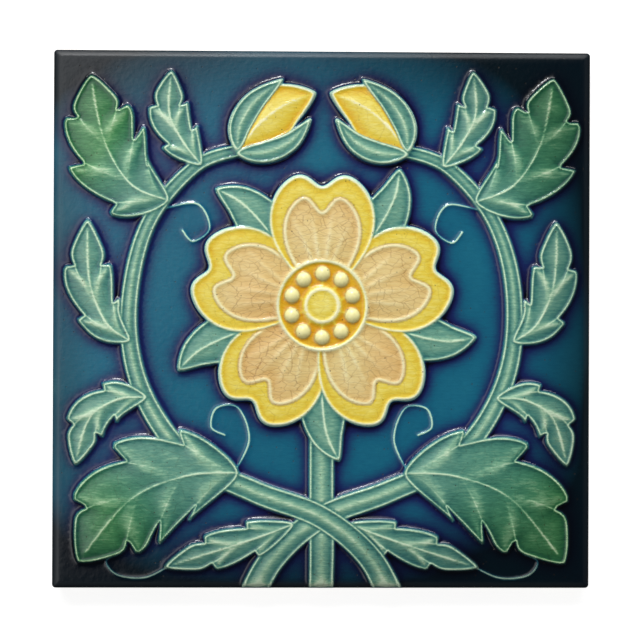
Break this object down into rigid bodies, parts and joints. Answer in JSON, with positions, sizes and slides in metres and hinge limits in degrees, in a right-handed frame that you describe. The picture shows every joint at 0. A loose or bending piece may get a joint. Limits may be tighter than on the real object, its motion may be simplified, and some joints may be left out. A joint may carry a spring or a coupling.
{
  "type": "relief wall tile",
  "caption": "Square glazed ceramic wall tile with a relief-moulded rose and leaf ornament, rounded front edges and a ribbed mortar key on its back.",
  "frame": {"origin": "middle of the tile's back face", "axes": "+Z out of the glazed face, +Y towards the top of the ornament, +X to its right"},
  "size_m": [0.1524, 0.1524, 0.0105],
  "materials": {
    "glazed_clay": "glossy translucent coloured glazes on a buff clay body, bare on the back"
  },
  "bodies": {
    "root": {"relief_tile": "glazed_clay"}
  },
  "joints": []
}
